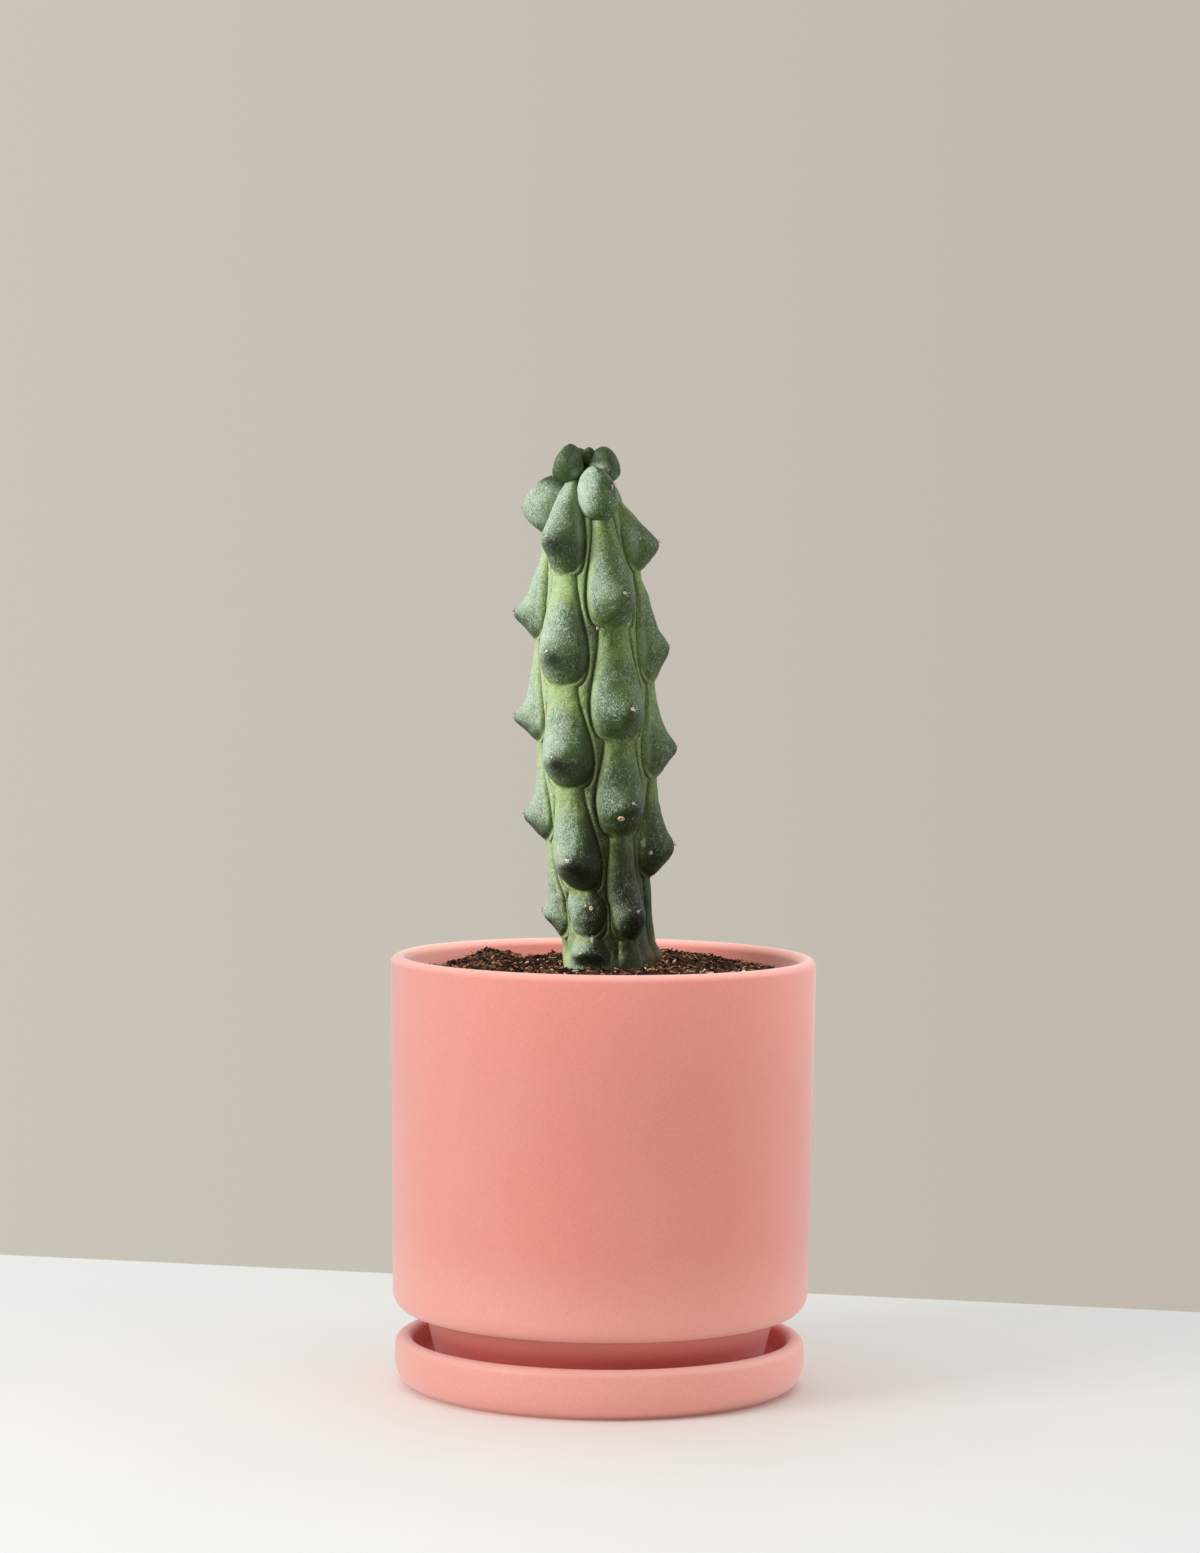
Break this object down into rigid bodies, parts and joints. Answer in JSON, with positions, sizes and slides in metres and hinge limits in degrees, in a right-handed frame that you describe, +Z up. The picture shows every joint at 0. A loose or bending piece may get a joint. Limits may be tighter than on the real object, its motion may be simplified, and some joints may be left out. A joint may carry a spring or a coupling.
{
  "type": "potted cactus",
  "caption": "Potted boobie cactus: a knobbly, ribbed green column in dark soil, in a coral-pink matt ceramic cylinder pot with a stepped foot, standing in its drip saucer.",
  "frame": {"origin": "centre of the saucer's flat base", "axes": "+Z up along the pot's axis, -Y towards the front that the picture shows, +X to the viewer's right"},
  "size_m": [0.13, 0.13, 0.2877],
  "materials": {
    "saucer": "matt coral-pink ceramic",
    "pot": "matt coral-pink ceramic",
    "soil": "rough, damp potting mix of bark, peat and fibre",
    "cactus": "smooth living skin with a pale waxy bloom"
  },
  "bodies": {
    "root": {"saucer": "saucer", "pot": "pot", "soil": "soil", "cactus": "cactus"}
  },
  "joints": []
}
